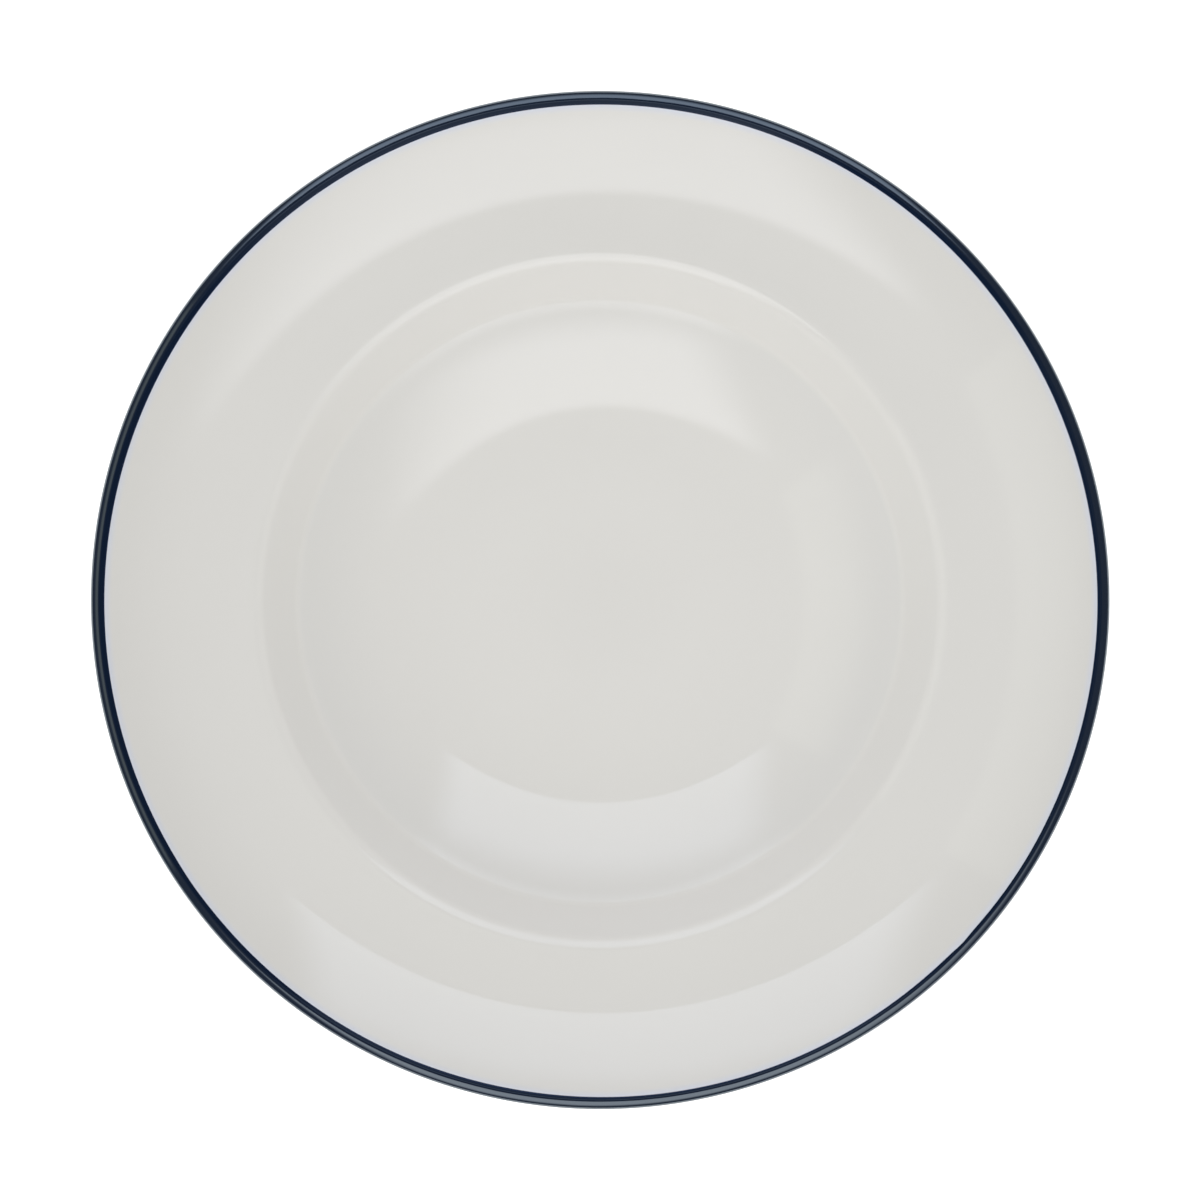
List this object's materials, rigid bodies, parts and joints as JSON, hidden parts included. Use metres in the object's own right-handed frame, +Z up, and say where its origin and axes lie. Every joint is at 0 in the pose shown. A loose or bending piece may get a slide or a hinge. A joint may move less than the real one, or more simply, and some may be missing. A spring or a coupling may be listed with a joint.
{
  "type": "rimmed soup plate",
  "caption": "Round soup plate in white glazed porcelain, with a deep coved well, a broad rim that lifts to a rolled lip with a navy band, and a bare-edged foot ring.",
  "frame": {"origin": "on the plate's axis, in the plane of the foot ring's standing edge", "axes": "+Z up along the plate's axis, out of the well"},
  "size_m": [0.24, 0.24, 0.0349],
  "materials": {
    "bare_porcelain": "fired clay, smooth and matt, ground flat on the standing edge",
    "white_glaze": "high gloss",
    "navy_band": "high gloss, colour fired into the glaze"
  },
  "bodies": {
    "root": {"porcelain_body": "bare_porcelain", "face_glaze": "white_glaze", "rim_band": "navy_band", "back_glaze": "white_glaze", "foot_well_glaze": "white_glaze"}
  },
  "joints": []
}
